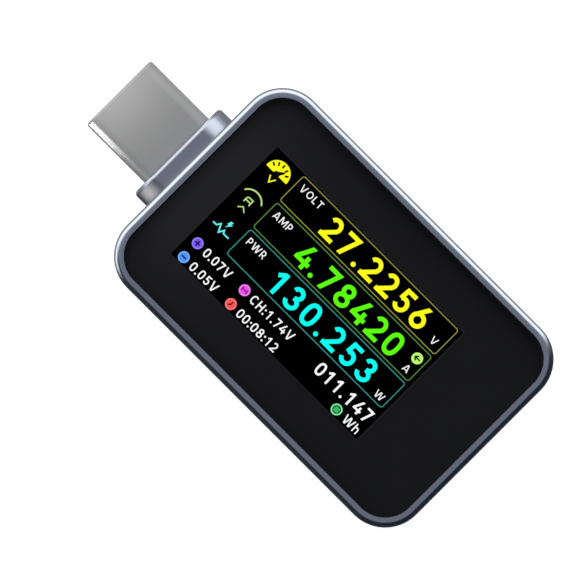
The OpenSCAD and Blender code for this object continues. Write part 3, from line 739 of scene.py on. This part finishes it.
def text_mesh(text, x, y, height, weight=0.177, gap=0.16, narrow=1.0, right=False):
    """Flat strokes that spell text. x and y are its lower left corner, or lower right if right, and
    narrow scales the characters' widths."""
    if right:
        x -= text_width(text, height, gap, narrow)
    parts = []
    for c in text:
        width, strokes = GLYPHS[c]
        for k, stroke in enumerate(strokes):
            thick = BAR_T + STEP_Z * k
            if stroke in (".", ":"):
                rise = DOT_AT if stroke == "." else COLON_AT
                parts.append(disc_mesh(x + DOT_AT * height, y + rise * height, DOT_R * height,
                                       SCREEN_Z, thick, steps=24))
            else:
                points = [(x + px * narrow * height, y + py * height) for px, py in stroke]
                parts.append(bar_mesh(points, weight * height, SCREEN_Z, thick, (y, y + height)))
        x += (width * narrow + gap) * height
    return joined(*parts)


def screen_piece(name, mesh, mat):
    """One lit or dark shape on the screen. Its mesh is drawn from the middle of the window's length."""
    verts, faces = mesh
    moved = [(x + WINDOW_X, y, z) for x, y, z in verts]
    ob = piece(name, moved, faces, mat)
    return ob


YELLOW = lit("lit_yellow", (255, 255, 25))
GREEN = lit("lit_green", (92, 255, 12))
CYAN = lit("lit_cyan", (12, 255, 240))
PALE_CYAN = lit("lit_pale_cyan", (100, 242, 238))
WHITE = lit("lit_white", (250, 250, 250))
LIME = lit("lit_lime", (185, 228, 125))
DARK = surface("unlit_black", (0.0006, 0.0006, 0.0007), 0, 0.4, tint=0.1, Specular_IOR_Level=0.02)

ROW_PITCH = 3.425
ROW_TOP = 6.555
BOX_X0, BOX_X1 = -8.39, 11.49
BOX_H = 3.1
LABEL_H = 0.73
DIGIT_H = 2.29
DIGIT_END = 8.99
DIGIT_DROP = 0.48
LABEL_X, LABEL_DROP = -7.86, 1.215
UNIT_X = 10.57
UNIT_H, UNIT_NARROW = 0.7, 1.09
SMALL_H = 0.9
BADGE_R = 0.535


def box_line(row):
    """The thin rounded box round one big read-out."""
    width, height, line = BOX_X1 - BOX_X0, BOX_H, 0.08
    cx = (BOX_X0 + BOX_X1) / 2
    cy = ROW_TOP - ROW_PITCH * row - height / 2
    path = outline(width, height, 0.25, steps=6)
    points = [(cx + p[0], cy + p[1]) for p in path]
    return bar_mesh(points + points[:1], line, SCREEN_Z, FACE_T)


def make_readouts():
    """The three big rows and the small read-outs below them."""
    rows = (
        ("voltage", "27.2256", "VOLT", "V", 3.97, 0.03, YELLOW, (150, 150, 62)),
        ("current", "4.78420", "AMP", "A", 0.43, -0.025, GREEN, (88, 140, 62)),
        ("power", "130.253", "PWR", "W", -3.05, -0.01, CYAN, (50, 150, 142)),
    )
    labels, units = [], []
    for row, (name, value, label, unit, unit_y, lift, mat, line) in enumerate(rows):
        top = ROW_TOP - ROW_PITCH * row
        digits_y = top - DIGIT_DROP - DIGIT_H + lift
        digits = text_mesh(value, DIGIT_END, digits_y, DIGIT_H, gap=0.2, right=True)
        screen_piece(f"readout_{name}", digits, mat)
        screen_piece(f"box_{name}", box_line(row), lit(f"lit_box_{name}", line))
        labels.append(text_mesh(label, LABEL_X, top - LABEL_DROP, LABEL_H, 0.135, gap=0.19))
        left = UNIT_X - text_width(unit, UNIT_H, 0, UNIT_NARROW) / 2
        units.append(text_mesh(unit, left, unit_y, UNIT_H, 0.135, narrow=UNIT_NARROW))
    screen_piece("row_labels", joined(*labels), WHITE)
    screen_piece("row_units", joined(*units), WHITE)
    fine = {"weight": 0.145, "gap": 0.145, "narrow": 0.94}
    wide = {"weight": 0.145, "gap": 0.154, "narrow": 0.94}
    small = [
        text_mesh("0.07V", -9.92, -5.07, SMALL_H, **fine),
        text_mesh("0.05V", -9.92, -6.82, SMALL_H, **fine),
        text_mesh("CH:1.74V", -3.91, -5.07, SMALL_H, **wide),
        text_mesh("00:08:12", -3.89, -6.82, SMALL_H, **wide),
        text_mesh("011.147", 11.53, -5.44, 1.31, 0.155, gap=0.173, narrow=0.94, right=True),
        text_mesh("Wh", 11.51, -6.78, 0.87, 0.145, gap=0.16, right=True),
    ]
    screen_piece("small_readouts", joined(*small), WHITE)


def make_badges():
    """Round badges beside the small read-outs: a face, a paler rim and a sign."""
    line, thin, rim = 0.14, 0.075, 0.11
    signs = {
        "plus": ((-10.89, -4.6), (122, 84, 240), (150, 130, 245), (25, 0, 85),
                 [[(-0.28, 0), (0.28, 0)], [(0, -0.28), (0, 0.28)]]),
        "minus": ((-10.89, -6.375), (78, 146, 245), (118, 178, 250), (5, 25, 85),
                  [[(-0.28, 0), (0.28, 0)]]),
        "pair": ((-4.85, -4.6), (236, 80, 232), (240, 135, 236), (150, 30, 158),
                 [[(-0.27, -0.2), (-0.27, 0.2)], [(0.27, -0.2), (0.27, 0.2)], [(-0.25, 0), (0.25, 0)]]),
        "clock": ((-4.85, -6.375), (248, 86, 86), (252, 122, 120), (115, 0, 5),
                  [[(0.03, 0.28), (0.03, 0), (-0.2, -0.22)]]),
        "list": ((8.72, -6.35), (8, 122, 52), (142, 245, 180), (100, 222, 135),
                 [[(-0.24, 0.14), (0.24, 0.14)], [(-0.24, -0.02), (0.24, -0.02)],
                  [(-0.24, -0.18), (0.24, -0.18)]]),
        "arrow": ((10.62, 2.11), (182, 250, 105), (192, 255, 120), (0, 14, 0),
                  [[(0.34, 0), (-0.24, 0)], [(0, 0.26), (-0.26, 0), (0, -0.26)]]),
    }
    for name, ((x, y), face, edge, ink, strokes) in signs.items():
        screen_piece(f"badge_{name}", disc_mesh(x, y, BADGE_R, SCREEN_Z, FACE_T), lit(f"lit_{name}", face))
        hoop = bar_mesh(ring(x, y, BADGE_R - rim / 2, BADGE_R - rim / 2), rim, SCREEN_Z, BAR_T)
        screen_piece(f"rim_{name}", hoop, lit(f"lit_{name}_rim", edge))
        width = thin if name == "list" else line
        bars = [bar_mesh([(x + a, y + b) for a, b in s], width, SCREEN_Z, SIGN_T + STEP_Z * k)
                for k, s in enumerate(strokes)]
        screen_piece(f"sign_{name}", joined(*bars), lit(f"lit_{name}_sign", ink))


def make_icons():
    """The pictures at the left of each row: a gauge, an arc over a letter, and a pulse."""
    x = -10.27
    gauge_y, gauge_r = 4.95, 1.255
    base_y = gauge_y - gauge_r * math.sin(math.radians(4))
    screen_piece("gauge_face", disc_mesh(x, gauge_y, gauge_r, SCREEN_Z, FACE_T, -4, 184), YELLOW)
    marks = []
    for k, a in enumerate((33, 61, 90, 119, 147)):
        c, s = math.cos(math.radians(a)), math.sin(math.radians(a))
        marks.append(bar_mesh([(x + c * r, base_y + s * r) for r in (0.8, 1.17)], 0.18, SCREEN_Z,
                              SIGN_T + STEP_Z * k))
    marks.append(disc_mesh(x, base_y - 0.01, 0.33, SCREEN_Z, HUB_T, 0, 180, 16))
    marks.append(polygon_mesh([(x - 0.06, base_y + 0.3), (x + 0.3, base_y + 0.1),
                               (x + 0.56, base_y + 0.6), (x + 0.45, base_y + 0.69)], SCREEN_Z, NEEDLE_T))
    screen_piece("gauge_marks", joined(*marks), DARK)
    letter = bar_mesh([(x - 0.34, 4.48), (x, 3.9), (x + 0.34, 4.48)], 0.115, SCREEN_Z, BAR_T)
    screen_piece("gauge_letter", letter, YELLOW)
    current = [
        bar_mesh(ring(x, 1.23, 1.25, 1.25, 31, 149, steps=20), 0.135, SCREEN_Z, BAR_T),
        bar_mesh([(x - 0.39, 1.06)] + ring(x - 0.16, 1.44, 0.23, 0.22, 180, 90, steps=6)
                 + [(x + 0.25, 1.66), (x + 0.25, 1.06)], 0.115, SCREEN_Z, BAR_T + STEP_Z),
        bar_mesh([(x - 0.39, 1.33), (x + 0.25, 1.33)], 0.12, SCREEN_Z, BAR_T + 2 * STEP_Z),
        bar_mesh([(x - 0.43, 0.32), (x - 0.02, 0.68), (x + 0.42, 0.32)], 0.1, SCREEN_Z, BAR_T),
    ]
    screen_piece("arc_icon", joined(*current), LIME)
    pulse = bar_mesh([(x - 1.04, -2.2), (x - 0.62, -2.2), (x - 0.37, -1.84), (x, -2.55), (x + 0.28, -2.06),
                      (x + 0.42, -2.33), (x + 1.06, -2.33)], 0.135, SCREEN_Z, BAR_T)
    bolt = polygon_mesh([(x + 0.18, -1.03), (x + 0.46, -1.03), (x + 0.33, -1.24), (x + 0.56, -1.24),
                         (x + 0.07, -1.82), (x + 0.2, -1.44), (x + 0.03, -1.44)], SCREEN_Z, BAR_T + STEP_Z)
    screen_piece("pulse_icon", joined(pulse, bolt), PALE_CYAN)


def make_window_edge_highlight():
    """The cut edge of the film round the screen, a painted highlight a shade paler than the film, on the
    three sides where light catches it.
    """
    line = 0.1
    x, y = (WINDOW_LEN + line) / 2, (WINDOW_WID + line) / 2
    verts, faces = bar_mesh([(x, -y), (x, y), (-x, y), (-x, -y)], line, FILM_HI.z, 0.004)
    moved = [(v[0] + WINDOW_X, v[1] + WINDOW_Y, v[2]) for v in verts]
    ob = piece("window_edge_highlight", moved, faces, FILM_EDGE_HIGHLIGHT)


bpy.context.scene.view_settings.view_transform = "Standard"
make_camera()
make_room()
make_floor()
make_frame()
make_collar()
make_plug_shell()
make_glass()
make_glue_and_gap_shade()
make_window_edge_highlight()
make_readouts()
make_badges()
make_icons()
make_lights()
for cad_name, cad_mat in (
    ("bezel_film", FILM_BLACK), ("lcd_panel", LCD_BLACK), ("back_cover", BACK_PLASTIC),
    ("case_screws", SCREW_STEEL), ("plug_insulator", INSULATOR), ("plug_contacts", GOLD),
    ("plug_latch", SPRING_STEEL), ("socket_shell", SOCKET_METAL), ("socket_housing", INSULATOR),
    ("socket_tongue", INSULATOR), ("socket_contacts", GOLD), ("socket_midplate", SPRING_STEEL),
    ("key_cap", METAL), ("switch_cover", SPRING_STEEL), ("switch_dome", SPRING_STEEL),
    ("switch_body", SWITCH_PLASTIC), ("switch_plunger", PLUNGER), ("lcd_backlight", LIGHT_GUIDE),
    ("lcd_flex", FLEX_FILM), ("lcd_connector", SOCKET_PLASTIC), ("foam_pad", FOAM),
    ("circuit_board", MASK_GREEN), ("mcu_chip", CHIP_BLACK), ("current_sense_chip", CHIP_BLACK),
    ("memory_chip", CHIP_BLACK), ("voltage_regulator", CHIP_BLACK), ("buck_inductor", FERRITE),
    ("shunt_resistors", CHIP_BLACK), ("crystal", CAN_METAL), ("tvs_diodes", CHIP_BLACK),
    ("ceramic_capacitors", CERAMIC_TAN), ("chip_resistors", CHIP_BLACK), ("thermal_pad", GAP_PAD),
):
    dress(cad_name, cad_mat)
